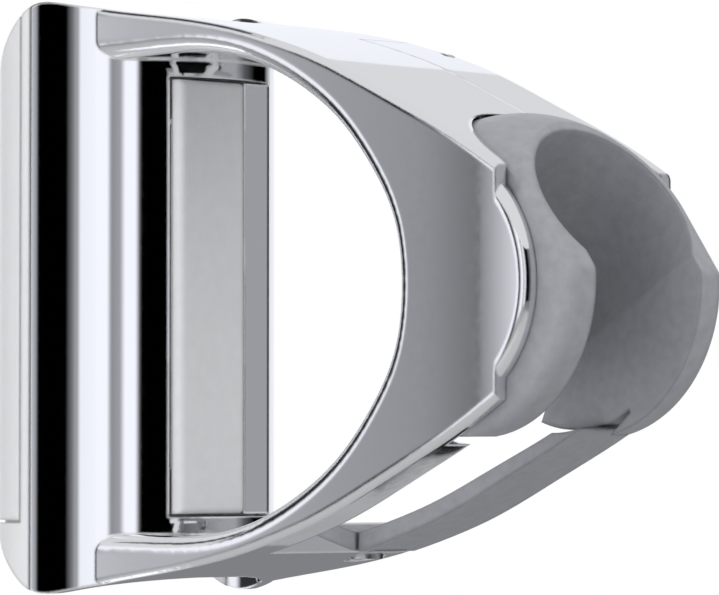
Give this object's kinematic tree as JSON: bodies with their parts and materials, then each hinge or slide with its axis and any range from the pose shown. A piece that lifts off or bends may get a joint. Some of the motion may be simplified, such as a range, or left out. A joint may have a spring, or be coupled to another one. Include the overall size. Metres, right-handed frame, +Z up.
{
  "type": "shower rail slider",
  "caption": "Sliding hand-shower holder that clamps on a round rail, with a finger opening, a press bar that frees the brake and a tilting conical clip.",
  "frame": {"origin": "axis of the rail bore at mid-height of the sleeve", "axes": "+Z up along the rail, +X from the rail to the user and the conical clip, Y across"},
  "size_m": [0.1015, 0.0334, 0.0706],
  "materials": {
    "chrome": "polished chrome plate on plastic",
    "satin": "satin grey",
    "pad": "satin pale grey",
    "pale": "semi-gloss pale grey",
    "white_acetal": "plain moulded",
    "rubber": "matt",
    "steel": "plain"
  },
  "bodies": {
    "slider_body": {"body_shell": "chrome", "far_cover": "chrome", "bow": "satin", "rear_frame": "pale", "rear_panel": "pale", "upper_bush": "white_acetal", "lower_bush": "white_acetal", "near_friction_ring": "rubber", "far_friction_ring": "rubber", "cover_screw_rear": "steel", "cover_screw_front": "steel", "bow_screw": "steel", "sleeve_dowel_near_lower": "steel", "sleeve_dowel_far_lower": "steel", "sleeve_dowel_near_upper": "steel", "sleeve_dowel_far_upper": "steel", "upper_leaf_spring": "steel", "lower_leaf_spring": "steel"},
    "release": {"bar_carrier": "chrome", "bar_pad": "pad", "brake_shoe": "steel", "brake_rubber": "rubber", "upper_yoke": "white_acetal", "lower_yoke": "white_acetal"},
    "clip": {"holder_clip": "satin"}
  },
  "joints": [
    {"name": "release_press", "type": "slide", "parent": "slider_body", "child": "release", "axis": [-1, 0, 0], "range_m": [0, 0.0012], "stiffness_N_per_m": 6000, "springref_m": -0.002, "deforming": ["upper_leaf_spring", "lower_leaf_spring"]},
    {"name": "clip_tilt", "type": "hinge", "parent": "slider_body", "child": "clip", "pos_m": [0.0655, 0, 0], "axis": [0, 1, 0], "range_deg": [-12, 12]}
  ]
}
